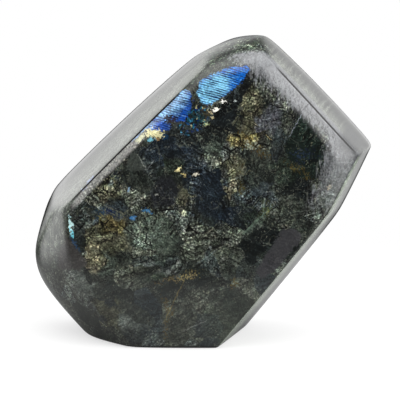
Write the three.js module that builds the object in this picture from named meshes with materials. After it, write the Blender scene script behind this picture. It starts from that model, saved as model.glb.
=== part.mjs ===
// Polished labradorite freeform: a leaning faceted slab of one stone, cut flat underneath so that it stands.
// Millimetres, +Z up, X to the right, Y away from the viewer, origin in the middle of the flat base.
import * as THREE from "three";

// A point deep in the stone that sees every facet; the facets' reaches are measured from it.
const HEART = new THREE.Vector3(20, 5, 95.7);

// azimuth: 0 faces the viewer, positive turns to the right, 180 is the back (degrees)
// tilt: how far the facet looks up, -90 is straight down (degrees)
// reach: distance from the heart to the facet (mm)
// crown: radius of the slight dome polished into the facet (mm)
// crisp: how sharply its edges are broken, a larger number is sharper (1/mm)
const FACETS = {
  base: facet(0, -90, 95.7, Infinity, 3),
  front: facet(0, 4, 32, 700, 1.5),
  leftTop: facet(-73, 44.5, 61.5, 1600, 2.5),
  leftUpper: facet(-80, 27, 81.7, 500, 0.45),
  leftLower: facet(-72, -38, 115, 500, 0.5),
  shoulder: facet(-80, 61, 80.2, 400, 0.35),
  summit: facet(20, 76, 104.5, 300, 0.3),
  rightTop: facet(75, 42, 98.5, 1500, 2.5),
  rightUpper: facet(70, -26, 83.8, 900, 1.8),
  rightLower: facet(68, -35.7, 76.7, 2500, 2.5),
  leftChamfer: facet(-19, 21.5, 48.8, 900, 2),
  rightChamfer: facet(20, 20, 64.7, 900, 1.4),
  rightFront: facet(24, 2, 64.6, 900, 0.6),
  cap: facet(-20, 50, 79, 400, 0.4),
  leftFront: facet(-48, 0, 82.6, 400, 0.6),
  leftFoot: facet(-32, -14, 82.2, 300, 0.4),
  back: facet(180, 2, 40, 900, 1),
  backLeftTop: facet(-130, 40, 66, 1600, 1),
  backLeftEnd: facet(-130, 0, 98, 500, 0.5),
  backLeftLower: facet(-135, -25, 106.8, 500, 0.5),
  backSummit: facet(180, 50, 97.5, 500, 0.5),
  backRightTop: facet(125, 41, 105.3, 700, 1),
  backRightLower: facet(128, -29.7, 81.4, 2000, 1),
};

// Length of one step along a facet's edge (mm)
const EDGE_STEP = 9;
// Rings drawn inside each facet, as shares of the way from its middle to its edge
const RINGS = [0.98, 0.93, 0.8, 0.45];
// Anything closer to the ground than this belongs to the flat base (mm)
const BASE_FLATNESS = 0.06;
// A corner is kept when no other facet cuts it off by more than this (mm)
const CORNER_SLACK = 1e-6;
// Steps taken towards the point where three surfaces meet
const MEETING_STEPS = 12;
// Three surfaces whose directions span less than this have no clear meeting point
const LEAST_SPREAD = 1e-4;
// The polished skin lies between these shares of the way from the heart through a sharp-edged point
const SKIN_SEARCH = { near: 0.5, far: 1.1, halvings: 44 };

function facet(azimuth, tilt, reach, crown, crisp) {
  const turn = THREE.MathUtils.degToRad(azimuth);
  const rise = THREE.MathUtils.degToRad(tilt);
  const normal = new THREE.Vector3(
    Math.sin(turn) * Math.cos(rise),
    -Math.cos(turn) * Math.cos(rise),
    Math.sin(rise),
  );
  const foot = HEART.clone().addScaledVector(normal, reach);
  return { normal, foot, crown, crisp };
}

// Height of a point over a facet, negative inside the stone, and the facet's outward direction there
function over(surface, point) {
  if (surface.crown === Infinity) {
    return { height: surface.normal.dot(point.clone().sub(surface.foot)), outward: surface.normal };
  }
  const ball = surface.foot.clone().addScaledVector(surface.normal, -surface.crown);
  const outward = point.clone().sub(ball);
  const distance = outward.length();
  return { height: distance - surface.crown, outward: outward.divideScalar(distance) };
}

// The point where three surfaces meet, reached from a starting point
function meeting(surfaces, start) {
  const point = start.clone();
  for (let step = 0; step < MEETING_STEPS; step += 1) {
    const [a, b, c] = surfaces.map((surface) => over(surface, point));
    const bc = b.outward.clone().cross(c.outward);
    const ca = c.outward.clone().cross(a.outward);
    const ab = a.outward.clone().cross(b.outward);
    const spread = a.outward.dot(bc);
    if (Math.abs(spread) < LEAST_SPREAD) {
      return null;
    }
    point.addScaledVector(bc, -a.height / spread);
    point.addScaledVector(ca, -b.height / spread);
    point.addScaledVector(ab, -c.height / spread);
  }
  return point;
}

// Corners of the faceted body: every point where three facets meet and no other facet cuts it off
function findCorners(facets) {
  const corners = [];
  for (let i = 0; i < facets.length; i += 1) {
    for (let j = i + 1; j < facets.length; j += 1) {
      for (let k = j + 1; k < facets.length; k += 1) {
        const point = meeting([facets[i], facets[j], facets[k]], HEART);
        if (point && facets.every((other) => over(other, point).height < CORNER_SLACK)) {
          corners.push({ point, facets: [facets[i], facets[j], facets[k]] });
        }
      }
    }
  }
  return corners;
}

// The polished surface: facets run into one another with softly broken edges
function polished(point, facets) {
  const direction = point.clone().sub(HEART);
  let inner = SKIN_SEARCH.near;
  let outer = SKIN_SEARCH.far;
  for (let halving = 0; halving < SKIN_SEARCH.halvings; halving += 1) {
    const middle = (inner + outer) / 2;
    const probe = HEART.clone().addScaledVector(direction, middle);
    const sum = facets.reduce((total, one) => total + Math.exp(one.crisp * over(one, probe).height), 0);
    if (sum > 1) {
      outer = middle;
    } else {
      inner = middle;
    }
  }
  const result = HEART.clone().addScaledVector(direction, inner);
  if (result.z < BASE_FLATNESS) {
    result.z = 0;
  }
  return result;
}

// Corners of one facet in order, counter-clockwise seen from outside
function cornersAround(one, corners) {
  const own = corners.filter((corner) => corner.facets.includes(one));
  const middle = new THREE.Vector3();
  own.forEach((corner) => middle.addScaledVector(corner.point, 1 / own.length));
  const across = own[0].point.clone().sub(middle).projectOnPlane(one.normal).normalize();
  const along = one.normal.clone().cross(across);
  const angle = (corner) => {
    const arm = corner.point.clone().sub(middle);
    return Math.atan2(arm.dot(along), arm.dot(across));
  };
  return own.sort((a, b) => angle(a) - angle(b));
}

function stoneGeometry() {
  const facets = Object.values(FACETS);
  const corners = findCorners(facets);
  const positions = [];
  const triangles = [];
  const edges = new Map();

  const addPoint = (raw) => {
    const point = polished(raw, facets);
    positions.push(point.x, point.y, point.z);
    return { raw, id: positions.length / 3 - 1 };
  };
  corners.forEach((corner) => {
    corner.mark = addPoint(corner.point);
  });

  // Points along the edge between two corners, on the line where their two common facets meet
  const edgeBetween = (from, to) => {
    const key = `${from.mark.id} ${to.mark.id}`;
    const reverse = `${to.mark.id} ${from.mark.id}`;
    if (edges.has(reverse)) {
      return edges.get(reverse).slice().reverse();
    }
    const shared = from.facets.filter((one) => to.facets.includes(one));
    const span = to.point.clone().sub(from.point);
    const steps = Math.max(1, Math.round(span.length() / EDGE_STEP));
    const points = [];
    for (let step = 1; step < steps; step += 1) {
      const start = from.point.clone().addScaledVector(span, step / steps);
      const slice = { normal: span.clone().normalize(), foot: start, crown: Infinity };
      points.push(addPoint(meeting([shared[0], shared[1], slice], start)));
    }
    edges.set(key, points);
    return points;
  };

  facets.forEach((one) => {
    const around = cornersAround(one, corners);
    const rim = around.flatMap((corner, i) => {
      const next = around[(i + 1) % around.length];
      return [corner.mark, ...edgeBetween(corner, next)];
    });
    const middle = new THREE.Vector3();
    rim.forEach((mark) => middle.addScaledVector(mark.raw, 1 / rim.length));
    let outer = rim;
    RINGS.forEach((share) => {
      const inner = rim.map((mark) => addPoint(middle.clone().lerp(mark.raw, share)));
      outer.forEach((mark, i) => {
        const next = (i + 1) % outer.length;
        triangles.push(mark.id, outer[next].id, inner[next].id);
        triangles.push(mark.id, inner[next].id, inner[i].id);
      });
      outer = inner;
    });
    const hub = addPoint(middle);
    outer.forEach((mark, i) => {
      triangles.push(mark.id, outer[(i + 1) % outer.length].id, hub.id);
    });
  });

  const geometry = new THREE.BufferGeometry();
  geometry.setAttribute("position", new THREE.Float32BufferAttribute(positions, 3));
  geometry.setIndex(triangles);
  geometry.computeVertexNormals();
  return geometry;
}

// Dark grey-green stone with a polished skin
const labradorite = new THREE.MeshStandardMaterial({ color: 0x3a3d38, roughness: 0.15, metalness: 0 });

const stone = new THREE.Mesh(stoneGeometry(), labradorite);
stone.name = "stone";

const part = new THREE.Group();
part.name = "polished_labradorite";
part.add(stone);

export default part;
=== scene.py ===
"""Polished labradorite freeform: a leaning faceted slab of one stone, standing on its flat cut base."""

import math

import bmesh
import bpy
import numpy as np
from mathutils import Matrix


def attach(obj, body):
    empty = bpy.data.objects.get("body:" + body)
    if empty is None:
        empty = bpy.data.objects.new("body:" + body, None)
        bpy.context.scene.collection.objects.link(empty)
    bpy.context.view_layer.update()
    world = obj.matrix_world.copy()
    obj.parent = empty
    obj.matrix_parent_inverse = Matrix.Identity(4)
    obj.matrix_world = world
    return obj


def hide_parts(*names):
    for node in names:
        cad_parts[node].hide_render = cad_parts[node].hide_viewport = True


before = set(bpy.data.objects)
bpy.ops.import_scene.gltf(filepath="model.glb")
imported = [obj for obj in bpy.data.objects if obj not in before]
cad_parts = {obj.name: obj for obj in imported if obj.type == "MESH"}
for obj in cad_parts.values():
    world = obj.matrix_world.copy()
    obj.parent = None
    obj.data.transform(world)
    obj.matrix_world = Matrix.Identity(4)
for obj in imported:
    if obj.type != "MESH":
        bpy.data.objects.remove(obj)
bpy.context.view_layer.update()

MM = 0.001
# Axes of the frame
ACROSS, DEPTH, UP = (1, 0, 0), (0, 1, 0), (0, 0, 1)

# Shape of the stone, in millimetres: the same facets as the solid, measured from a point deep inside
HEART = np.array([20.0, 5.0, 95.7])
# Crown radius of a facet without a dome
FLAT = 1e7
# name: azimuth, tilt (degrees), reach, crown radius (mm), crispness (1/mm)
FACETS = {
    "base": (0, -90, 95.7, FLAT, 3),
    "front": (0, 4, 32, 700, 1.5),
    "leftTop": (-73, 44.5, 61.5, 1600, 2.5),
    "leftUpper": (-80, 27, 81.7, 500, 0.45),
    "leftLower": (-72, -38, 115, 500, 0.5),
    "shoulder": (-80, 61, 80.2, 400, 0.35),
    "summit": (20, 76, 104.5, 300, 0.3),
    "rightTop": (75, 42, 98.5, 1500, 2.5),
    "rightUpper": (70, -26, 83.8, 900, 1.8),
    "rightLower": (68, -35.7, 76.7, 2500, 2.5),
    "leftChamfer": (-19, 21.5, 48.8, 900, 2),
    "rightChamfer": (20, 20, 64.7, 900, 1.4),
    "rightFront": (24, 2, 64.6, 900, 0.6),
    "cap": (-20, 50, 79, 400, 0.4),
    "leftFront": (-48, 0, 82.6, 400, 0.6),
    "leftFoot": (-32, -14, 82.2, 300, 0.4),
    "back": (180, 2, 40, 900, 1),
    "backLeftTop": (-130, 40, 66, 1600, 1),
    "backLeftEnd": (-130, 0, 98, 500, 0.5),
    "backLeftLower": (-135, -25, 106.8, 500, 0.5),
    "backSummit": (180, 50, 97.5, 500, 0.5),
    "backRightTop": (125, 41, 105.3, 700, 1),
    "backRightLower": (128, -29.7, 81.4, 2000, 1),
}
# Anything closer to the ground than this belongs to the flat base
BASE_FLATNESS = 0.06
# How abruptly the shading turns over a broken edge, smaller is softer
EDGE_TURN = 0.6
# The polished skin lies between these shares of the way from the heart through a point of the solid's mesh
SKIN_SEARCH = (0.9, 1.1)
SKIN_HALVINGS = 30
# Points of the solid's mesh closer than this are joined (metres)
WELD = 1e-7
# New points along each edge of the solid's mesh
SKIN_CUTS = 3


def heading(azimuth, tilt):
    """Unit direction: azimuth 0 faces the viewer, positive turns to the right; tilt looks up."""
    turn, rise = math.radians(azimuth), math.radians(tilt)
    return np.array([math.sin(turn) * math.cos(rise), -math.cos(turn) * math.cos(rise), math.sin(rise)])


NORMALS = np.array([heading(row[0], row[1]) for row in FACETS.values()])
REACHES, CROWNS, CRISPS = (np.array([row[i] for row in FACETS.values()], float) for i in (2, 3, 4))
BALLS = HEART + NORMALS * (REACHES - CROWNS)[:, None]


def facet_pull(points):
    """How strongly each facet is felt at each point, and the outward directions of the facets there."""
    arms = points[:, None, :] - BALLS[None, :, :]
    distances = np.linalg.norm(arms, axis=2)
    pull = np.exp(CRISPS * (distances - CROWNS))
    return pull, arms / distances[:, :, None]


def polished(points):
    """The points moved along their rays from the heart onto the polished skin."""
    rays = points - HEART
    inner, outer = (np.full(len(points), share) for share in SKIN_SEARCH)
    for _ in range(SKIN_HALVINGS):
        middle = (inner + outer) / 2
        outside = facet_pull(HEART + rays * middle[:, None])[0].sum(axis=1) > 1
        outer = np.where(outside, middle, outer)
        inner = np.where(outside, inner, middle)
    skin = HEART + rays * inner[:, None]
    skin[:, 2] = np.where(skin[:, 2] < BASE_FLATNESS, 0, skin[:, 2])
    return skin


def outward(points):
    """Outward direction of the polished skin at each point, turning softly over the broken edges."""
    pull, directions = facet_pull(points)
    total = ((pull ** EDGE_TURN)[:, :, None] * directions).sum(axis=1)
    return total / np.linalg.norm(total, axis=1)[:, None]


def make_stone():
    """The solid's own mesh, refined onto the polished skin."""
    mesh = bpy.data.meshes.new("labradorite")
    bm = bmesh.new()
    bm.from_mesh(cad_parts["stone"].data)
    bmesh.ops.remove_doubles(bm, verts=bm.verts, dist=WELD)
    bmesh.ops.subdivide_edges(bm, edges=bm.edges, cuts=SKIN_CUTS, use_grid_fill=True)
    skin = polished(np.array([v.co for v in bm.verts]) / MM)
    for vertex, point in zip(bm.verts, skin):
        vertex.co = point * MM
    for face in bm.faces:
        face.smooth = True
    bm.to_mesh(mesh)
    bm.free()
    mesh.normals_split_custom_set_from_vertices([tuple(n) for n in outward(skin)])
    piece = bpy.data.objects.new("labradorite", mesh)
    bpy.context.scene.collection.objects.link(piece)
    return piece


class Graph:
    """Short names for making and wiring shader nodes."""

    def __init__(self, tree):
        self.tree = tree

    def node(self, kind, inputs=None, **settings):
        """A new node; each input is another node's socket or a constant."""
        made = self.tree.nodes.new(kind)
        for name, value in settings.items():
            setattr(made, name, value)
        for key, value in (inputs or {}).items():
            if isinstance(value, bpy.types.NodeSocket):
                self.tree.links.new(value, made.inputs[key])
            else:
                made.inputs[key].default_value = value
        return made

    def math(self, operation, *values):
        return self.node("ShaderNodeMath", dict(enumerate(values)), operation=operation).outputs[0]

    def vector(self, operation, *values):
        return self.node("ShaderNodeVectorMath", dict(enumerate(values)), operation=operation).outputs[0]

    def dot(self, a, b):
        return self.node("ShaderNodeVectorMath", {0: a, 1: b}, operation="DOT_PRODUCT").outputs["Value"]

    def scaled(self, a, share):
        return self.node("ShaderNodeVectorMath", {0: a, "Scale": share}, operation="SCALE").outputs[0]

    def fade(self, value, low, high, to_low=0.0, to_high=1.0):
        """The value's soft step from one level to another, as it goes from low to high."""
        inputs = {"Value": value, "From Min": low, "From Max": high, "To Min": to_low, "To Max": to_high}
        return self.node("ShaderNodeMapRange", inputs, interpolation_type="SMOOTHSTEP").outputs[0]

    def mix(self, share, a, b, blend="MIX"):
        """A colour between two colours."""
        a, b = ((*one, 1) if isinstance(one, tuple) else one for one in (a, b))
        inputs = {0: share, 6: a, 7: b}
        return self.node("ShaderNodeMix", inputs, data_type="RGBA", blend_type=blend).outputs[2]

    def blend(self, share, a, b):
        """A number between two numbers."""
        return self.node("ShaderNodeMix", {0: share, 2: a, 3: b}).outputs[0]

    def noise(self, place, size, detail=2.0, roughness=0.5, colour=False):
        inputs = {"Vector": place, "Scale": 1 / size, "Detail": detail, "Roughness": roughness}
        return self.node("ShaderNodeTexNoise", inputs).outputs[1 if colour else 0]

    def cells(self, place, size, output="Color", **settings):
        inputs = {"Vector": place, "Scale": 1 / size}
        return self.node("ShaderNodeTexVoronoi", inputs, **settings).outputs[output]

    def channels(self, colour):
        return self.node("ShaderNodeSeparateColor", {0: colour}).outputs

    def pushed(self, place, push, reach):
        """The place, moved each way by up to the reach; the push is a random colour."""
        lowest = self.vector("SUBTRACT", place, (reach,) * 3)
        return self.vector("MULTIPLY_ADD", push, (2 * reach,) * 3, lowest)

    def shaken(self, place, size, reach, detail=2.0):
        """The place, moved each way by up to the reach, in waves of this size."""
        return self.pushed(place, self.noise(place, size, detail, colour=True), reach)

    def patch(self, place, x, z, half_length, half_width, turn, cover=1.0, inner=0.65, outer=1.2, rough=0.0):
        """The cover inside an ellipse seen from the front, 0 outside it; the turn is counter-clockwise."""
        right, up = math.cos(math.radians(turn)), math.sin(math.radians(turn))
        along = self.dot(place, (right / half_length, 0, up / half_length))
        along = self.math("SUBTRACT", along, (x * right + z * up) / half_length)
        aside = self.dot(place, (-up / half_width, 0, right / half_width))
        aside = self.math("SUBTRACT", aside, (z * right - x * up) / half_width)
        squares = self.math("MULTIPLY_ADD", along, along, self.math("MULTIPLY_ADD", aside, aside, rough))
        return self.fade(squares, outer ** 2, inner ** 2, 0, cover)

    def prism(self, place, corners, soft):
        """1 inside convex corners (across, up), 0 outside; they go counter-clockwise seen from the front."""
        nearest = None
        for (x, z), (next_x, next_z) in zip(corners, corners[1:] + corners[:1]):
            run = math.hypot(next_x - x, next_z - z)
            inward = ((z - next_z) / run, 0, (next_x - x) / run)
            depth = self.math("SUBTRACT", self.dot(place, inward), inward[0] * x + inward[2] * z)
            nearest = self.math("MINIMUM", nearest, depth) if nearest else depth
        return self.fade(nearest, -soft, soft)


def tidy_tree(owner):
    """An empty node tree for a material or a world."""
    owner.use_nodes = True
    owner.node_tree.nodes.clear()
    return Graph(owner.node_tree)


# How bright a white surface on the front face reads, and the faint reflection over it
STUDIO_LIGHT = 1.43
STUDIO_SHEEN = 0.006
# The least that a colour itself gives back, as a share of white
DARKEST = 0.001


def linear(level):
    """Share of white light that a colour level of 0 to 255 stands for."""
    level /= 255
    return level / 12.92 if level <= 0.04045 else ((level + 0.055) / 1.055) ** 2.4


def seen(red, green, blue):
    """Base colour that reads as this one, 0 to 255, under the studio light and its faint reflection."""
    return tuple(max(linear(level) - STUDIO_SHEEN, DARKEST) / STUDIO_LIGHT for level in (red, green, blue))


# Stone without a cloud: its darkest and lightest colour as they read under the light, and its bluish plates
PLAIN_DARK = (38, 43, 41)
PLAIN_LIGHT = (80, 84, 75)
PLAIN_BLUISH = (52, 60, 64)
# How coarse the texture is there
PLAIN_COARSE = 0.85

# Tones of the clouds: colour as it reads under the light, and how coarse the texture is
TONES = {
    "night": ((27, 30, 31), 0.8),
    "ink": ((33, 40, 48), 0.75),
    "peat": ((46, 43, 40), 0.8),
    "moss": ((48, 57, 48), 0.9),
    "slate": ((60, 70, 76), 0.8),
    "lilac": ((84, 86, 92), 0.7),
    "bronze": ((92, 84, 50), 1.0),
    "olive": ((88, 88, 70), 1.0),
    "sand": ((102, 98, 78), 1.0),
    "sage": ((86, 96, 86), 0.9),
    "pearl": ((112, 119, 112), 0.9),
}

# Clouds in the stone behind the front face:
# across, up, half length, half width (mm), turn (degrees), tone, cover
CLOUDS = (
    (46, 193, 26, 8, 12, "moss", 0.7),
    (62, 187, 10, 6, -45, "pearl", 0.7),
    (22, 182, 20, 5, 40, "moss", 0.8),
    (44, 194, 14, 3, 10, "moss", 0.6),
    (49, 169, 21, 9, 55, "night", 0.9),
    (34, 148, 12, 7, 20, "night", 0.8),
    (54, 151, 18, 8, 75, "olive", 0.85),
    (60, 147, 12, 3, 80, "peat", 0.6),
    (68, 151, 11, 5, 60, "lilac", 0.7),
    (50, 139, 7, 5, 0, "bronze", 0.6),
    (100, 127, 14, 5, -70, "night", 0.7),
    (41, 134, 6, 3.5, 60, "pearl", 0.7),
    (30, 131, 9, 5, -20, "sage", 0.7),
    (46, 123, 9, 8, 0, "olive", 0.7),
    (43, 106, 5, 6, 0, "sand", 0.6),
    (27, 105, 27, 12, -60, "ink", 0.85),
    (62, 100, 13, 10, 0, "slate", 0.6),
    (55, 81, 12, 3, 35, "sage", 0.8),
    (66, 95, 5, 2.5, 70, "sage", 0.7),
    (54, 90, 6, 5, 0, "moss", 0.7),
    (62, 70, 14, 8, 25, "night", 0.75),
    (108, 108, 22, 5, 62, "sage", 0.8),
    (85, 108, 17, 9, -60, "night", 0.8),
    (16, 141, 14, 7, -10, "night", 0.7),
    (-40, 58, 12, 7, 10, "sage", 0.7),
    (5, 119, 10, 6, 0, "moss", 0.6),
    (11, 101, 10, 3.5, -60, "olive", 0.7),
    (-38, 107, 13, 8, -30, "olive", 0.8),
    (-38, 92, 10, 3, 10, "slate", 0.7),
    (-39, 73, 17, 12, 0, "olive", 0.8),
    (-35, 80, 10, 6, 0, "bronze", 0.6),
    (-8, 76, 16, 11, -25, "sage", 0.8),
    (2, 55, 9, 3.5, 25, "pearl", 0.6),
    (-3, 50, 10, 3, 20, "moss", 0.8),
    (-23, 19, 8, 4.5, -35, "pearl", 0.6),
    (-28, 128, 12, 5, 45, "peat", 0.7),
    (2, 132, 17, 7, 0, "ink", 0.8),
    (77, 118, 8, 12, -20, "moss", 0.7),
    (86, 106, 13, 7, 0, "night", 0.7),
    (-49, 60, 9, 8, 0, "sand", 0.7),
    (-56, 41, 18, 6, -58, "pearl", 0.7),
    (-36, 25, 12, 6, -50, "olive", 0.6),
    (41, 22, 14, 14, 0, "moss", 0.4),
)

# Smooth cleavage faces:
# convex corners (across, up) counter-clockwise from the front, colour, coarseness, softness of the rim
FACES = (
    (
        ((76, 134), (84, 114), (97, 112), (102, 119), (103.2, 131), (97, 147), (87, 158.5)),
        (33, 41, 37), 0.6, 0.8,
    ),
    (((-70, 53), (-54, 52.4), (-49.5, 57.8), (-62.2, 75), (-68.8, 62.4)), (80, 78, 76), 0.3, 0.9),
    (((-25, 118.3), (-12.2, 118.9), (-13.5, 124.7), (-18.1, 130.9), (-22, 129.3)), (70, 75, 70), 0.35, 0.5),
    (((-8, 94), (7, 95), (10, 106), (5, 115), (-4, 114), (-9, 102.5)), (42, 44, 46), 0.4, 1.8),
    (((58, 51), (62.5, 46.5), (71, 52), (88.5, 74), (85.5, 79), (76.5, 81)), (66, 66, 68), 0.2, 0.9),
)

# Sheets that flash blue:
# corners as above, deep and bright colour, brightest part (across, up, half length, half width, turn),
# how dark the lamellae are, softness of the rim
FLASHES = (
    (
        (
            (23.8, 162.6), (29.1, 161.7), (38.1, 167), (48.9, 176.2), (54.3, 184.1),
            (53.2, 187.4), (42.3, 186.2), (29.1, 180.8), (22.1, 176.2), (20.8, 169.6),
        ),
        (28, 110, 208), (148, 222, 258), (30, 171, 14, 8, 38), 1.0, 0.5,
    ),
    (
        ((-9.5, 150.9), (13.5, 150.9), (16.7, 157.8), (17.3, 168.3), (15.1, 171), (9, 172.5)),
        (34, 92, 192), (150, 206, 254), (4.5, 164, 15, 8, 47), 0.9, 0.6,
    ),
    (
        ((-13.7, 145.3), (-4.1, 144.3), (2.9, 144.6), (4.5, 147.6), (1, 150.9), (-8.6, 151.2)),
        (56, 96, 184), (146, 188, 240), (-12, 147, 8, 4, 45), 0.85, 0.5,
    ),
)

# Small bits that flash: across, up, half length, half width, turn, colour as it reads, cover
BITS = (
    (3.9, 152.2, 4.6, 2.6, -30, (60, 50, 44), 0.9),
    (0.4, 141.0, 2.6, 2.2, 60, (22, 60, 92), 0.85),
    (-6.8, 142.6, 5.8, 3.2, -8, (270, 262, 204), 1.0),
    (-15.0, 139.8, 4.2, 1.7, 42, (250, 250, 208), 0.95),
    (-12.7, 140.7, 1.6, 0.5, 40, (44, 34, 20), 0.9),
    (-4.1, 139.4, 1.4, 1.2, 60, (196, 156, 104), 0.8),
    (-7.9, 138.9, 3.2, 0.9, 8, (130, 204, 226), 0.9),
    (-9.4, 140.3, 1.4, 0.7, 20, (30, 104, 118), 0.8),
    (21.5, 145.4, 1.3, 1.0, 0, (42, 90, 160), 0.8),
    (15.4, 149.0, 2.0, 1.0, -15, (30, 84, 140), 0.8),
    (26.3, 149.0, 2.2, 0.9, 12, (170, 178, 130), 0.85),
    (34.0, 158.0, 7.0, 3.6, 20, (14, 14, 12), 0.85),
    (38.0, 163.0, 4.0, 1.6, -12, (14, 16, 16), 0.8),
    (37.2, 163.6, 2.2, 0.8, -12, (280, 276, 268), 1.0),
    (33.0, 158.4, 2.7, 1.2, 14, (284, 280, 264), 1.0),
    (29.8, 156.4, 1.2, 0.7, -20, (236, 222, 180), 0.9),
    (31.0, 153.4, 1.1, 0.6, 10, (206, 194, 150), 0.9),
    (45.4, 164.3, 0.8, 0.7, 0, (206, 214, 210), 0.8),
    (9.6, 119.0, 4.2, 2.2, 40, (14, 12, 8), 0.8),
    (9.3, 119.1, 2.6, 1.1, 50, (270, 256, 190), 1.0),
    (12.6, 115.5, 1.5, 0.7, -20, (226, 206, 140), 0.9),
    (20.0, 116.2, 3.6, 2.2, 10, (8, 8, 6), 0.9),
    (20.2, 116.3, 2.1, 1.2, 15, (284, 276, 250), 1.0),
    (-5.4, 102.7, 1.1, 0.8, 10, (180, 182, 176), 0.9),
    (12.4, 78.9, 0.9, 0.7, -40, (226, 226, 216), 0.9),
    (-25.6, 125.6, 0.9, 0.8, 0, (200, 196, 180), 0.9),
    (-11.1, 92.2, 3.2, 1.2, -22, (84, 150, 205), 0.9),
    (-20.1, 87.4, 2.0, 2.0, -20, (80, 150, 214), 0.8),
    (-22.3, 105.8, 1.0, 1.4, -20, (150, 184, 208), 0.85),
    (-47.6, 112.1, 3.4, 1.0, 50, (176, 190, 226), 0.8),
    (-51.8, 106.3, 2.4, 0.9, 50, (170, 186, 222), 0.7),
    (-60.4, 82.4, 6.4, 1.4, 98, (250, 296, 296), 1.0),
    (-59.4, 77.6, 3.2, 0.9, 100, (150, 262, 284), 0.9),
    (-57.8, 70.6, 5.5, 0.8, 122, (60, 96, 140), 0.7),
    (66.0, 91.9, 1.8, 0.9, 60, (160, 164, 100), 0.8),
    (65.8, 92.5, 0.8, 0.6, 0, (16, 14, 8), 0.9),
    (105.6, 107.3, 2.2, 1.0, 40, (196, 188, 166), 0.8),
)

# Dust of tiny bits: across, up, half length, half width, turn, colour as it reads, cover
DUSTS = (
    (-35, 81.5, 9, 5.5, 0, (102, 92, 56), 0.5),
    (13.6, 49.5, 8, 2.4, 12, (178, 164, 112), 0.8),
    (3, 46.4, 8, 1.8, 18, (144, 130, 92), 0.7),
    (-36, 91, 6, 2.4, 5, (44, 68, 122), 0.8),
    (-41, 89.6, 3.5, 3, 0, (50, 84, 104), 0.7),
    (-27, 89.4, 4.5, 2, -15, (48, 62, 92), 0.7),
    (-29, 114, 7, 2.4, -50, (78, 96, 116), 0.6),
    (20.5, 153.5, 5, 2, -22, (72, 146, 158), 0.85),
    (27, 156.5, 4, 2.4, 30, (104, 94, 70), 0.6),
    (52, 139, 8, 4.5, -30, (108, 92, 50), 0.7),
    (62, 131, 4.5, 2.4, -20, (118, 98, 52), 0.7),
    (50, 108, 5, 2, 100, (158, 146, 88), 0.8),
    (46, 119.5, 5, 3, 60, (134, 128, 92), 0.7),
    (85, 119.5, 8, 2.5, -38, (114, 102, 60), 0.7),
    (65, 93, 5, 3, 70, (132, 140, 92), 0.7),
    (88.4, 129, 7, 4.5, 0, (60, 76, 100), 0.7),
    (44, 44.5, 2, 4, -10, (126, 110, 66), 0.6),
    (3, 19, 1.6, 8, -18, (122, 104, 64), 0.7),
    (0.2, 29, 1.4, 7, 10, (110, 96, 60), 0.6),
)

# Thin straight streaks: across, up, half length, half width, turn, colour as it reads, cover
STREAKS = (
    (-14.8, 143.9, 9.6, 1.0, 46, (158, 194, 236), 0.85),
    (1.0, 92.7, 6.8, 0.6, 6, (6, 6, 8), 0.95),
    (-5.6, 92.3, 1.4, 1.1, 70, (8, 8, 10), 0.9),
    (5.8, 83.1, 6.6, 0.45, 48, (8, 10, 10), 0.9),
    (-23.0, 78.7, 7.6, 0.45, -36, (16, 18, 16), 0.85),
    (-49.0, 53.1, 3.8, 0.5, 13, (10, 12, 12), 0.9),
    (-40.0, 45.3, 4.0, 0.5, 18, (12, 14, 14), 0.85),
    (-12.0, 59.2, 6.5, 0.5, 24, (20, 26, 26), 0.8),
    (-14.2, 124.1, 7.0, 0.35, -62, (140, 146, 140), 0.75),
    (-9.0, 121.9, 4.6, 0.45, 52, (132, 138, 136), 0.8),
    (28.6, 78.7, 3.8, 0.35, 38, (150, 150, 132), 0.75),
    (56.0, 150.3, 5.4, 0.4, -33, (22, 22, 18), 0.8),
    (57.6, 148.3, 4.8, 0.35, -33, (30, 30, 24), 0.7),
    (57.0, 149.3, 5.0, 0.35, -33, (140, 138, 118), 0.5),
    (53.2, 145.9, 3.2, 0.35, 62, (22, 22, 18), 0.6),
    (66.4, 140.3, 3.0, 0.4, -45, (190, 178, 130), 0.7),
    (82.5, 150.5, 14.0, 0.5, 62, (30, 32, 38), 0.8),
    (84.2, 149.5, 13.0, 0.35, 62, (126, 130, 138), 0.7),
    (90.5, 160.6, 5.0, 0.5, 48, (60, 60, 64), 0.7),
    (110.4, 127.7, 8.0, 0.5, 86, (140, 142, 142), 0.6),
    (107.4, 116.7, 6.0, 0.5, 70, (130, 132, 130), 0.55),
    (19.0, 15.3, 11.0, 0.45, 26, (126, 130, 124), 0.6),
    (-50.0, 34.7, 16.0, 0.4, -62, (112, 118, 116), 0.5),
    (-58.0, 36.7, 15.0, 0.4, -52, (112, 116, 112), 0.5),
    (-44.0, 25.7, 12.0, 0.4, -64, (104, 110, 108), 0.45),
    (6.5, 33.0, 20.0, 0.4, 65, (124, 112, 72), 0.6),
    (26.6, 61.0, 9.0, 0.5, 35, (112, 124, 122), 0.6),
    (22.0, 56.0, 8.0, 0.4, 35, (20, 22, 22), 0.6),
    (-34.0, 93.6, 12.0, 0.4, -25, (124, 124, 108), 0.55),
    (-30.0, 88.6, 11.0, 0.4, -25, (116, 118, 104), 0.5),
    (-36.0, 98.6, 11.0, 0.4, -28, (18, 20, 18), 0.6),
    (58.5, 85.0, 14.0, 0.8, 45, (106, 126, 110), 0.55),
    (60.0, 122.0, 9.0, 0.4, 75, (16, 17, 15), 0.7),
    (38.0, 92.0, 12.0, 0.4, -52, (14, 15, 15), 0.6),
)

# The markings are laid out on an upright plane at the front face and run into the stone at a slight slope
LAYOUT_DEPTH = -26.8
LAYOUT_SLOPE = 0.249
# From this depth on (mm) the stone is laid out as the front is, turned about this point (degrees)
BACK_START = 16
BACK_FADE = 2
BACK_PIVOT = (22, 0, 122)
BACK_TURN = 155

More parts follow.
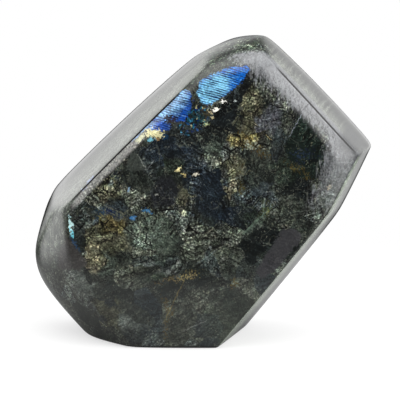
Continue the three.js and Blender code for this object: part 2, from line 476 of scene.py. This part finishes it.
# Sizes of what the stone is grown of (mm): plates, flakes, chips and grain
PLATE_SIZE = 15
FLAKE_SIZE = 6
CHIP_SIZE = 1.6
GRAIN_SIZE = 1.2
# Bends, here and below: the size of the waves that bend a texture, and how far they move it (mm)
CHIP_BEND = (2.5, 1)
RIM_BEND = (2.2, 0.8)
# How far the chips push the ragged rim of a mark (mm)
CHIP_PUSH = 0.7
# The bend of plates and flakes, in shares of their size
GROWTH_WAVE = 0.85
GROWTH_REACH = 0.3


def facing(g, arrow, direction, near, far, high=1.0):
    """The high value where the arrow points in the direction, fading to 0 between two angles (degrees)."""
    along = g.dot(arrow, tuple(direction))
    return g.fade(along, math.cos(math.radians(far)), math.cos(math.radians(near)), 0, high)


def facet_face(g, normal, name, near, far):
    """1 where the skin faces as the named facet does, fading to 0 between two angles."""
    return facing(g, normal, heading(*FACETS[name][:2]), near, far)


def either_face(g, normal, one, other, near, far):
    """1 where the skin faces as one or the other of two facets does."""
    on_one = facet_face(g, normal, one, near, far)
    on_other = facet_face(g, normal, other, near, far)
    return g.math("MAXIMUM", on_one, on_other)


def laid_out(g, place, depth):
    """Where the place lies in the layout of the markings; behind, that layout is turned about."""
    rise = g.math("SUBTRACT", g.dot(place, (0, LAYOUT_SLOPE, 1)), LAYOUT_SLOPE * LAYOUT_DEPTH)
    front = g.node("ShaderNodeCombineXYZ", {0: g.dot(place, ACROSS), 1: depth, 2: rise}).outputs[0]
    turned = g.node("ShaderNodeVectorRotate", {
        "Vector": front,
        "Center": BACK_PIVOT,
        "Angle": math.radians(BACK_TURN),
    }, rotation_type="Y_AXIS").outputs[0]
    behind = g.fade(depth, BACK_START, BACK_START + BACK_FADE)
    return g.node("ShaderNodeMix", {0: behind, 4: front, 5: turned}, data_type="VECTOR").outputs[1]


def chipped(g, layout, chips):
    """The layout, shaken finely and broken by the chips, for marks with a ragged rim."""
    return g.pushed(g.shaken(layout, *RIM_BEND), chips, CHIP_PUSH)


def grown(g, place, size):
    """Plates of this size: a random colour for each, and its painted gleam here, lighter to one side as if
    the plate caught the light.
    """
    bent = g.shaken(place, size * GROWTH_WAVE, size * GROWTH_REACH)
    cell = g.node("ShaderNodeTexVoronoi", {"Vector": bent, "Scale": 1 / size})
    arm = g.vector("SUBTRACT", bent, cell.outputs["Position"])
    gleam = g.dot(g.scaled(arm, 2 / size), g.vector("SUBTRACT", cell.outputs["Color"], (0.5, 0.5, 0.5)))
    return cell.outputs["Color"], gleam


# Size of the broad drift of tone through the stone (mm), and how far plates and flakes depart from it
TONE_SIZE = 30
PLATE_TONE = 0.35
FLAKE_TONE = 0.15
# How the rims of the clouds are bent, and how far the plates and the flakes push them (mm)
CLOUD_BEND = (4, 1.5)
PLATE_PUSH = 4
FLAKE_PUSH = 2.4


def clouded(g, layout, plates, flakes, chips):
    """Colour of the stone with its clouds and cleavage faces, and how coarse its texture is."""
    broken = g.pushed(g.shaken(layout, *CLOUD_BEND), plates, PLATE_PUSH)
    broken = g.pushed(broken, flakes, FLAKE_PUSH)
    plate, flake = g.channels(plates), g.channels(flakes)
    tone = g.math("MULTIPLY_ADD", plate[1], PLATE_TONE, g.noise(layout, TONE_SIZE, 3))
    tone = g.math("MULTIPLY_ADD", flake[1], FLAKE_TONE, tone)
    colour = g.mix(g.fade(tone, 0.4, 1.1), seen(*PLAIN_DARK), seen(*PLAIN_LIGHT))
    colour = g.mix(g.fade(plate[2], 0.6, 0.9, 0, 0.5), colour, seen(*PLAIN_BLUISH))
    coarse = PLAIN_COARSE
    for *ellipse, name, cover in CLOUDS:
        inside = g.patch(broken, *ellipse, cover)
        cloud, own_coarse = TONES[name]
        colour = g.mix(inside, colour, seen(*cloud))
        coarse = g.blend(inside, coarse, own_coarse)
    ragged = chipped(g, layout, chips)
    for corners, face, own_coarse, soft in FACES:
        inside = g.prism(ragged, corners, soft)
        colour = g.mix(inside, colour, seen(*face))
        coarse = g.blend(inside, coarse, own_coarse)
    return colour, coarse


# Distance between the dark lamellae of a sheet (mm), and how steeply they drop to the right (degrees)
LAMELLA_STEP = 1.5
LAMELLA_DROP = 17
LAMELLA_COLOUR = (14, 36, 84)
LAMELLA_BEND = (7, 0.6)
# How fast their strength changes along them and across them (1/mm)
LAMELLA_CHANGE = (0.1, 0.5)


def lamellae(g, place, uneven):
    """Dark twin lamellae: fine stripes of uneven strength that drop to the right."""
    drop = math.radians(LAMELLA_DROP)
    bent = g.shaken(place, *LAMELLA_BEND)
    across = g.dot(bent, (math.sin(drop), 0, math.cos(drop)))
    change_along, change_across = LAMELLA_CHANGE
    along = g.dot(bent, (math.cos(drop) * change_along, 0, -math.sin(drop) * change_along))
    aside = g.math("MULTIPLY", across, change_across)
    lengths = g.node("ShaderNodeCombineXYZ", {0: along, 1: aside}).outputs[0]
    wave = g.math("SINE", g.math("MULTIPLY", across, 2 * math.pi / LAMELLA_STEP))
    bold = g.math("MULTIPLY_ADD", g.noise(lengths, 1, 2, 0.6), 6, g.math("MULTIPLY", uneven, 2))
    return g.fade(g.math("ADD", bold, wave), 3.7, 5.2)


# The dark hollow beside the sheets: across, up, half length, half width (mm), turn (degrees); its colour
HOLLOW = (18.5, 154, 13, 9, 60)
HOLLOW_COLOUR = (24, 32, 36)
# The chips in the hollow draw lots from 0 to 1: the colour of the low ones, then the lots between which
# each other colour takes over
CHIP_COLOUR = (16, 40, 88)
OTHER_CHIPS = (
    (0.3, 0.5, (26, 86, 108)),
    (0.6, 0.7, (56, 126, 160)),
    (0.86, 0.9, (176, 170, 130)),
)


def confetti(g, chips, zone, colour):
    """Tiny chips of blue, teal and cream scattered in the dark."""
    lot = g.channels(chips)
    chip = seen(*CHIP_COLOUR)
    for start, end, other in OTHER_CHIPS:
        chip = g.mix(g.fade(lot[0], start, end), chip, seen(*other))
    return g.mix(g.math("MULTIPLY", zone, g.fade(lot[1], 0.66, 0.72)), colour, chip)


# How coarse the texture is on the flashing sheets, and on the bits and streaks
SHEET_COARSE = 0.3
MARK_COARSE = 0.25
# Depths between which the front's marks end, and between which the back's begin (mm)
FRONT_MARKS_END = (-5, 0)
BACK_MARKS_START = (BACK_START + 4, BACK_START + 8)
# Angles from the left bevel's own facing between which the sheets come in beside it (degrees)
OFF_BEVEL = (18, 30)
# How far the flakes push the dusts (mm)
DUST_PUSH = 1.5


def flashing(g, layout, depth, normal, flakes, chips, grain, colour, coarse):
    """The colour with the blue sheets, the bright bits, the dusts and the streaks, front and back only."""
    plain = colour
    ragged = chipped(g, layout, chips)
    uneven = g.noise(g.vector("MULTIPLY", layout, (0.22, 0.22, 0.7)), 1, 3, 0.7)
    stripe = lamellae(g, layout, uneven)
    sheen = g.math("MULTIPLY_ADD", g.channels(chips)[0], 0.4, g.math("MULTIPLY_ADD", uneven, 2, -1.15))
    off_bevel = g.math("SUBTRACT", 1, facet_face(g, normal, "leftTop", *OFF_BEVEL))
    zone = g.patch(ragged, *HOLLOW, 1, 0.4, 1.2)
    colour = g.mix(g.math("MULTIPLY", zone, 0.6), colour, seen(*HOLLOW_COLOUR))
    colour = confetti(g, chips, zone, colour)
    for corners, deep, bright, spot, dark, soft in FLASHES:
        shade = g.fade(g.math("ADD", g.patch(ragged, *spot, 1, 0.3, 1.4), sheen), 0, 1)
        sheet = g.mix(shade, seen(*deep), seen(*bright))
        sheet = g.mix(g.math("MULTIPLY", stripe, dark), sheet, seen(*LAMELLA_COLOUR))
        inside = g.math("MULTIPLY", g.prism(ragged, corners, soft), off_bevel)
        colour = g.mix(inside, colour, sheet)
        coarse = g.blend(inside, coarse, SHEET_COARSE)

    nibbled = g.math("MULTIPLY_ADD", grain, 6, -3)
    for *ellipse, bit, cover in BITS:
        inside = g.patch(ragged, *ellipse, cover, 0.75, 1.1, nibbled)
        colour = g.mix(inside, colour, seen(*bit))
        coarse = g.blend(inside, coarse, MARK_COARSE)
    dusty = g.math("MULTIPLY_ADD", grain, 16, -7.4)
    spread = g.pushed(ragged, flakes, DUST_PUSH)
    for *ellipse, dust, cover in DUSTS:
        colour = g.mix(g.patch(spread, *ellipse, cover, 0.5, 1, dusty), colour, seen(*dust))
    waved = g.mix(0.5, ragged, layout)
    for *ellipse, streak, cover in STREAKS:
        inside = g.patch(waved, *ellipse, cover, 0.6, 1.1)
        colour = g.mix(inside, colour, seen(*streak))
        coarse = g.blend(inside, coarse, MARK_COARSE)
    past_front = g.fade(depth, *FRONT_MARKS_END)
    before_back = g.fade(depth, *reversed(BACK_MARKS_START))
    amid = g.math("MULTIPLY", past_front, before_back)
    return g.mix(amid, colour, plain), coarse


# How strongly each kind of texture shows
STRIAE = 6
GRAIN = 10
BLOTCH = 2.6
# PLATE and FLAKE set how strongly the painted gleams of the plates and flakes show
PLATE = 0.9
FLAKE = 0.5
TINT = 0.2
# All of it grows stronger between these heights (mm)
CALM_HEIGHTS = (25, 90)
# The striae rise to the right at this angle low in the stone (degrees)
STRIAE_RISE = 28
# They turn ever more freely between these heights (mm)
FREE_HEIGHTS = (45, 90)
# How fine they are along, into and across the stone, once turned (1/mm)
STRIAE_GRAIN = (0.04, 0.3, 0.6)
STRIAE_BEND = (12, 1.5)
# Sizes of the other textures (mm), and their bends
BLOTCH_SIZE = 6
BLOTCH_BEND = (8, 4)
TINT_SIZE = 3.5
THREAD_SIZE = 11
THREAD_BEND = (12, 3)
CRACK_SIZE = 10
CRACK_BEND = (9, 1.5)
# Colours of the finest marks
THREAD_COLOUR = (130, 134, 120)
SPECK_COLOUR = (160, 156, 128)
CRACK_COLOUR = (10, 12, 11)


def textured(g, place, plates, gleams, grain, colour, coarse):
    """The colour with painted gleams on the plates, striae along them, blotches, tints, specks, threads and
    cracks.
    """
    plate = g.channels(plates)
    height = g.dot(place, UP)
    coarse = g.math("MULTIPLY", coarse, g.fade(height, *CALM_HEIGHTS, 0.6, 1))
    coarse = g.math("MULTIPLY", coarse, g.fade(plate[1], 0, 1, 0.6, 1.2))
    freedom = g.math("MULTIPLY", g.math("SUBTRACT", plate[0], 0.5), g.fade(height, *FREE_HEIGHTS, 0.7, 3))
    run = g.node("ShaderNodeVectorRotate", {
        "Vector": g.shaken(place, *STRIAE_BEND),
        "Angle": g.math("ADD", freedom, math.radians(STRIAE_RISE)),
    }, rotation_type="Y_AXIS").outputs[0]
    striae = g.noise(g.vector("MULTIPLY", run, STRIAE_GRAIN), 1, 2, 0.6)
    texture = g.math("MULTIPLY_ADD", striae, STRIAE, -(STRIAE + GRAIN + BLOTCH) / 2)
    texture = g.math("MULTIPLY_ADD", grain, GRAIN, texture)
    blotches = g.noise(g.shaken(place, *BLOTCH_BEND), BLOTCH_SIZE, 3, 0.6)
    texture = g.math("MULTIPLY_ADD", blotches, BLOTCH, texture)
    texture = g.math("ADD", gleams, texture)
    lift = g.math("EXPONENT", g.math("MULTIPLY", texture, coarse))
    colour = g.node("ShaderNodeHueSaturation", {"Value": lift, "Color": colour}).outputs[0]
    tint = g.noise(place, TINT_SIZE, 2, 0.6, colour=True)
    colour = g.mix(g.math("MULTIPLY", coarse, TINT), colour, tint, "OVERLAY")

    winding = g.noise(g.shaken(place, *THREAD_BEND), THREAD_SIZE, 1, 0.5)
    thread = g.math("ABSOLUTE", g.math("SUBTRACT", winding, 0.5))
    here = g.fade(g.noise(place, 6, 1), 0.42, 0.55)
    light = g.math("MULTIPLY", g.fade(thread, 0.012, 0.003, 0, 0.35), here)
    colour = g.mix(g.math("MULTIPLY", light, coarse), colour, seen(*THREAD_COLOUR))
    speck = g.math("MULTIPLY", g.fade(grain, 0.62, 0.68, 0, 0.6), here)
    colour = g.mix(g.math("MULTIPLY", speck, coarse), colour, seen(*SPECK_COLOUR))
    rims = g.cells(g.shaken(place, *CRACK_BEND), CRACK_SIZE, "Distance", feature="DISTANCE_TO_EDGE")
    crack = g.math("MULTIPLY", g.fade(rims, 0.05, 0.015), g.fade(g.noise(place, 7, 1), 0.5, 0.58))
    return g.mix(g.math("MULTIPLY", crack, coarse), colour, seen(*CRACK_COLOUR))


# Pale skins: the two ends of each skin's colour as it reads under the light, and how coarse its texture is.
# The pale over the upper bevels, along the left chamfer and on the undercut side is painted reflection; on
# the right chamfer it is partly the stone's skin, partly painted reflection
BAND_REFLECTION_COLOURS = ((40, 43, 41), (120, 124, 116))
BAND_COARSE = 0.2
END_COLOURS = ((66, 76, 66), (138, 144, 132))
END_COARSE = 0.5
STRIP_SHEEN_COLOUR = (148, 148, 142)
STRIP_COARSE = 0.4
FRINGE_SKIN_AND_SHEEN_COLOURS = ((112, 114, 115), (152, 154, 158))
FRINGE_HAIR_COLOUR = (46, 47, 50)
FRINGE_COARSE = 0.08
# The undercut side is a painted reflection: its colour at the front, then at the rear
SIDE_REFLECTION_COLOURS = ((176, 186, 170), (70, 76, 72))
SIDE_COARSE = 0.35
# The darker tip at the right: across, up, half length, half width (mm), turn (degrees); its colour
TIP = (122, 139, 14, 11, 60)
TIP_COLOUR = (58, 60, 62)
# Direction in which the pale strip along the left chamfer faces (degrees); the strip is a painted sheen
STRIP_FACING = (-25, 24)
# Angles from its facing between which each skin fades (degrees)
BAND_ANGLES = (12, 26)
END_ANGLES = (26, 44)
STRIP_ANGLES = (6, 11)
SIDE_ANGLES = (15, 30)
# Depths between which a skin goes from its first colour to its second or, on the fringe, sets in (mm)
BAND_DEPTHS = (24, -14)
SIDE_DEPTHS = (-14, 4)
FRINGE_DEPTHS = (-2, -8)
# Heights between which a skin grows stronger, and places across between which the strip sets in (mm)
END_HEIGHTS = (44, 70)
FRINGE_HEIGHTS = (84, 136)
STRIP_PLACES = (-8, -18)
# Direction (across, in, up) in which the left end's corner is measured, and where its skin sets in (mm)
CORNER_RUN = (1, 0, -0.29)
CORNER_PLACES = (-85, -90)
# The same for the fringe of the right chamfer
FRINGE_RUN = (0.64, 0, 0.768)
FRINGE_START = 175
# The same for the rim of the dark shield below it, which ends between these heights (mm)
SHIELD_RUN = (0.963, 0, -0.27)
SHIELD_START = 64
SHIELD_FOOT = (78, 104)
# Direction in which the bands are brushed, and the bends of the brushing and of the dark hairs
BRUSH_RUN = (-0.7, 0.2, 0.7)
BRUSH_BEND = (20, 3)
HAIR_BEND = (9, 2.5)


def band_painted_reflection(g, place, depth, normal):
    """Where the two broad upper bevels are, and the painted reflection that is their colour, brushed along
    and darker towards the back.
    """
    share = either_face(g, normal, "leftTop", "rightTop", *BAND_ANGLES)
    run = g.dot(g.shaken(place, *BRUSH_BEND), BRUSH_RUN)
    streaks = {"W": run, "Scale": 0.4, "Detail": 4}
    brushed = g.node("ShaderNodeTexNoise", streaks, noise_dimensions="1D").outputs[0]
    inner = g.math("ADD", g.fade(depth, *BAND_DEPTHS), g.math("MULTIPLY_ADD", brushed, 1.2, -0.6))
    dark, light = BAND_REFLECTION_COLOURS
    return share, g.mix(g.fade(inner, 0, 1), seen(*dark), seen(*light))


def end_skin(g, layout, height, normal, hair):
    """Where the rounded left end is, and its hairy colour."""
    left_of_corner = g.fade(g.dot(layout, CORNER_RUN), *CORNER_PLACES)
    on_end = facet_face(g, normal, "leftFront", *END_ANGLES)
    share = g.math("MULTIPLY", on_end, g.fade(height, *END_HEIGHTS, 0.2, 0.9))
    share = g.math("MULTIPLY", share, left_of_corner)
    dark, light = END_COLOURS
    return share, g.mix(g.fade(hair, 0.4, 0.62), seen(*dark), seen(*light))


def fringe_skin_and_sheen(g, place, layout, depth, height, hair, off_side):
    """Where the skin of the right chamfer is, with a ragged rim, and its colour with dark hairs; the pale of
    that skin is partly painted reflection.
    """
    right_of_fringe = g.math("SUBTRACT", g.dot(layout, FRINGE_RUN), FRINGE_START)
    right_of_shield = g.math("SUBTRACT", g.dot(layout, SHIELD_RUN), SHIELD_START)
    above_foot = g.fade(height, *SHIELD_FOOT, -9, 9)
    inside = g.math("MAXIMUM", right_of_fringe, g.math("MINIMUM", right_of_shield, above_foot))
    ragged = g.math("ADD", inside, g.math("MULTIPLY_ADD", hair, 22, -11))
    share = g.math("MULTIPLY", g.fade(ragged, -3, 4), g.fade(depth, *FRINGE_DEPTHS))
    share = g.math("MULTIPLY", share, off_side)
    thin = g.math("ABSOLUTE", g.math("SUBTRACT", hair, 0.46))
    hairs = g.math("MULTIPLY", g.fade(thin, 0.035, 0.01), g.fade(inside, 16, 2, 0.2, 0.85))
    dark, light = FRINGE_SKIN_AND_SHEEN_COLOURS
    pale = g.mix(g.noise(place, 9, 3), seen(*dark), seen(*light))
    pale = g.mix(hairs, pale, seen(*FRINGE_HAIR_COLOUR))
    return g.math("MULTIPLY", share, g.fade(height, *FRINGE_HEIGHTS, 0.3, 0.95)), pale


def with_skins_and_painted_reflections(g, place, layout, depth, normal, colour, coarse):
    """The colour with the skins over the bevels, the left end, both chamfers and the undercut side; those
    over the bevels, along the left chamfer and on the undercut side are painted reflection, that on the
    right chamfer partly so.
    """
    hair = g.noise(g.vector("MULTIPLY", g.shaken(place, *HAIR_BEND), (0.7, 0.3, 0.14)), 1, 3, 0.6)
    height = g.dot(place, UP)
    across = g.dot(layout, ACROSS)

    # Painted reflection over the two upper bevels
    share, skin = band_painted_reflection(g, place, depth, normal)
    colour = g.mix(share, colour, skin)
    coarse = g.blend(share, coarse, BAND_COARSE)

    share, skin = end_skin(g, layout, height, normal, hair)
    colour = g.mix(share, colour, skin)
    coarse = g.blend(share, coarse, END_COARSE)

    # Painted sheen along the left chamfer
    strip = facing(g, normal, heading(*STRIP_FACING), *STRIP_ANGLES)
    strip = g.math("MULTIPLY", strip, g.fade(across, *STRIP_PLACES))
    colour = g.mix(g.math("MULTIPLY", strip, 0.85), colour, seen(*STRIP_SHEEN_COLOUR))
    coarse = g.blend(strip, coarse, STRIP_COARSE)

    side = either_face(g, normal, "rightUpper", "rightLower", *SIDE_ANGLES)
    off_side = g.math("SUBTRACT", 1, side)
    # Right chamfer: pale skin that is partly painted reflection, with the stone's dark hairs
    share, skin = fringe_skin_and_sheen(g, place, layout, depth, height, hair, off_side)
    colour = g.mix(share, colour, skin)
    coarse = g.blend(share, coarse, FRINGE_COARSE)

    # Painted reflection over the undercut side, pale at the front and darker to the rear
    front, rear = SIDE_REFLECTION_COLOURS
    colour = g.mix(side, colour, g.mix(g.fade(depth, *SIDE_DEPTHS), seen(*front), seen(*rear)))
    coarse = g.blend(side, coarse, SIDE_COARSE)
    tip = g.patch(layout, *TIP, 0.8, 0.4, 1.2)
    return g.mix(tip, colour, seen(*TIP_COLOUR)), coarse


# Colour of the painted shade: dark lines along the crisp edges and a contact shadow at the foot
EDGE_SHADE_COLOUR = (12, 13, 13)
# Heights between which the painted contact shadow at the foot fades (mm)
FOOT_SHADOW_HEIGHTS = (0.9, 1.9)
# Places across between which the painted shade line over the left chamfer ends (mm)
LEFT_LINE_END = (6, 14)
# A painted shade line fades between these shares of the way from the middle of its edge's turn to either
# facet
EDGE_FADE = (0.25, 0.55)
# Pairs of facets whose common edge shows a thin painted shade line
PAINTED_SHADE_EDGES = (
    ("rightTop", "rightChamfer"),
    ("rightTop", "backRightTop"),
    ("rightUpper", "backRightLower"),
    ("rightLower", "backRightLower"),
)


def facet_edge(g, normal, name, other):
    """1 on the crisp edge between two facets, where the skin faces neither of them."""
    one, two = heading(*FACETS[name][:2]), heading(*FACETS[other][:2])
    middle = (one + two) / np.linalg.norm(one + two)
    half = math.acos(float(one @ middle))
    dark, clear = (math.cos(half * share) for share in EDGE_FADE)
    return g.fade(g.dot(normal, tuple(middle)), clear, dark)


def with_painted_edge_shade(g, place, normal, colour):
    """The colour with painted shade: dark lines along the crisp edges and a contact shadow at the foot."""
    # Painted shade lines along the crisp edges
    rim = facet_edge(g, normal, "leftTop", "leftChamfer")
    rim = g.math("MULTIPLY", rim, g.fade(g.dot(place, ACROSS), *reversed(LEFT_LINE_END)))
    for one, other in PAINTED_SHADE_EDGES:
        rim = g.math("MAXIMUM", rim, facet_edge(g, normal, one, other))
    # Painted contact shadow along the foot
    rim = g.math("MAXIMUM", rim, g.fade(g.dot(place, UP), *reversed(FOOT_SHADOW_HEIGHTS)))
    return g.mix(rim, colour, seen(*EDGE_SHADE_COLOUR))


# How rough the polish is, from its smoothest spots to its wheel marks, and the size of those marks (mm)
POLISH = (0.05, 0.11)
WHEEL_MARK_SIZE = 2.5
# The faint waviness of the skin: size and depth (mm), and how strongly it shows
RELIEF_SIZE = 7
RELIEF_DEPTH = 0.05
RELIEF_STRENGTH = 0.5
# Refractive index of labradorite
FELDSPAR_IOR = 1.56


def stone_material():
    """Polished labradorite: clouds, skins and painted reflections, then the flashes and bits, the texture
    with its painted gleams, and the painted shade lines at the edges and the foot.
    """
    material = bpy.data.materials.new("polished_labradorite")
    g = tidy_tree(material)
    coordinates = g.node("ShaderNodeTexCoord")
    place = g.scaled(coordinates.outputs["Object"], 1 / MM)
    normal = coordinates.outputs["Normal"]
    depth = g.dot(place, DEPTH)
    layout = laid_out(g, place, depth)
    plates, plate_gleam = grown(g, place, PLATE_SIZE)
    flakes, flake_gleam = grown(g, place, FLAKE_SIZE)
    # Painted gleams: each plate and flake lighter to one side, as if it caught the light
    gleams = g.math("MULTIPLY_ADD", plate_gleam, PLATE, g.math("MULTIPLY", flake_gleam, FLAKE))
    chips = g.cells(g.shaken(place, *CHIP_BEND), CHIP_SIZE)
    grain = g.noise(place, GRAIN_SIZE, 2, 0.65)
    colour, coarse = clouded(g, layout, plates, flakes, chips)
    colour, coarse = with_skins_and_painted_reflections(g, place, layout, depth, normal, colour, coarse)
    colour, coarse = flashing(g, layout, depth, normal, flakes, chips, grain, colour, coarse)
    colour = textured(g, place, plates, gleams, grain, colour, coarse)
    colour = with_painted_edge_shade(g, place, normal, colour)
    wheel_marks = g.noise(g.vector("MULTIPLY", place, (1, 0.3, 0.4)), WHEEL_MARK_SIZE, 3, 0.6)
    relief = g.node("ShaderNodeBump", {
        "Height": g.noise(place, RELIEF_SIZE, 3, 0.55),
        "Strength": RELIEF_STRENGTH,
        "Distance": RELIEF_DEPTH * MM,
    })
    shader = g.node("ShaderNodeBsdfPrincipled", {
        "Base Color": colour,
        "Roughness": g.fade(wheel_marks, 0.35, 0.7, *POLISH),
        "Normal": relief.outputs[0],
        "IOR": FELDSPAR_IOR,
    })
    g.node("ShaderNodeOutputMaterial", {"Surface": shader.outputs[0]})
    return material


# The camera stands well in front of the stone and above it (mm)
CAMERA_PLACE = (22.75, -1455.44, 455.38)
# How far it is pitched up from straight down (degrees)
CAMERA_PITCH = 76
# Focal length and sensor width (mm), and how near and how far it sees (metres)
LENS = 207.7
SENSOR_WIDTH = 36
NEAREST = 0.05
FARTHEST = 50


def make_camera():
    """The camera at the photograph's viewing angle."""
    data = bpy.data.cameras.new("camera")
    data.lens = LENS
    data.sensor_width = SENSOR_WIDTH
    data.clip_start = NEAREST
    data.clip_end = FARTHEST
    camera = bpy.data.objects.new("camera", data)
    camera.location = [value * MM for value in CAMERA_PLACE]
    camera.rotation_euler = (math.radians(CAMERA_PITCH), 0, 0)
    bpy.context.scene.collection.objects.link(camera)
    bpy.context.scene.camera = camera


# Soft lights of the studio and a dark card behind the stone:
# azimuth, tilt, half angle of the middle, half angle where it ends (degrees), radiance
GLOWS = {
    "overhead": (0, 90, 20, 50, 2.6),
    "back left": (-150, 18, 12, 32, 1.8),
    "back right": (150, 14, 12, 36, 1.1),
    "far left": (-105, 5, 15, 40, 0.9),
    "left edge": (-119, -12, 8, 22, 1.0),
    "front left": (-57, 30, 8, 25, 2.6),
    "front right": (50, 28, 16, 34, 4.2),
    "front right low": (52, -6, 10, 26, 1.6),
    "far right": (100, 30, 12, 38, 1.6),
    "sweep behind": (163, -21, 8, 24, 0.6),
    "dark card behind": (180, -14, 8, 18, -1.0),
}
# Radiance where no light shows, and the least that the dark card leaves
DIM = 0.1
DIMMEST = 0.02
WHITE = (1, 1, 1, 1)


def make_studio():
    """Plain soft light all round, and a white backdrop where the camera looks past the stone."""
    world = bpy.data.worlds.new("studio")
    bpy.context.scene.world = world
    g = tidy_tree(world)
    direction = g.node("ShaderNodeTexCoord").outputs["Generated"]
    total = DIM
    for azimuth, tilt, middle, end, radiance in GLOWS.values():
        glow = facing(g, direction, heading(azimuth, tilt), middle, end, radiance)
        total = g.math("ADD", glow, total)
    total = g.math("MAXIMUM", total, DIMMEST)
    shown = g.node("ShaderNodeLightPath").outputs["Is Camera Ray"]
    unseen = g.node("ShaderNodeBackground", {"Color": WHITE, "Strength": total})
    backdrop = g.node("ShaderNodeBackground", {"Color": WHITE, "Strength": 1.0})
    mixed = g.node("ShaderNodeMixShader", {0: shown, 1: unseen.outputs[0], 2: backdrop.outputs[0]})
    g.node("ShaderNodeOutputWorld", {"Surface": mixed.outputs[0]})


# The floor lies just under the stone (metres) and has this many corners
FLOOR_CENTRE = (0.022, 0.01, -0.0002)
FLOOR_RADIUS = 0.27
FLOOR_CORNERS = 96
# It fades out between these shares of its radius
FLOOR_FADE = (0.55, 0.98)
FLOOR_GREY = (0.3, 0.3, 0.3, 1)
FLOOR_GLOW = 0.62


def floor_material():
    """Pale matt floor that fades into the backdrop; its glow keeps it white where nothing shades it."""
    material = bpy.data.materials.new("pale_floor")
    g = tidy_tree(material)
    pale = g.node("ShaderNodeBsdfDiffuse", {"Color": FLOOR_GREY})
    lit = g.node("ShaderNodeEmission", {"Strength": FLOOR_GLOW})
    both = g.node("ShaderNodeAddShader", {0: pale.outputs[0], 1: lit.outputs[0]})
    eye = g.node("ShaderNodeLightPath").outputs["Is Camera Ray"]
    bright = g.node("ShaderNodeMixShader", {0: eye, 1: pale.outputs[0], 2: both.outputs[0]})
    clear = g.node("ShaderNodeBsdfTransparent")
    place = g.node("ShaderNodeTexCoord").outputs["Object"]
    away = g.node("ShaderNodeVectorMath", {0: place}, operation="LENGTH").outputs["Value"]
    start, end = (FLOOR_RADIUS * share for share in FLOOR_FADE)
    shown = g.fade(away, start, end, 1, 0)
    mixed = g.node("ShaderNodeMixShader", {0: shown, 1: clear.outputs[0], 2: bright.outputs[0]})
    g.node("ShaderNodeOutputMaterial", {"Surface": mixed.outputs[0]})
    return material


def make_floor():
    """The floor that the stone stands on, for the picture only."""
    bpy.ops.mesh.primitive_circle_add(
        vertices=FLOOR_CORNERS,
        radius=FLOOR_RADIUS,
        fill_type="NGON",
        location=FLOOR_CENTRE,
    )
    floor = bpy.context.object
    floor.name = "floor"
    floor.data.materials.append(floor_material())


make_camera()
make_studio()
make_floor()
stone = make_stone()
stone.data.materials.append(stone_material())
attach(stone, "root")
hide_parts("stone")
bpy.context.scene.view_settings.view_transform = "Standard"
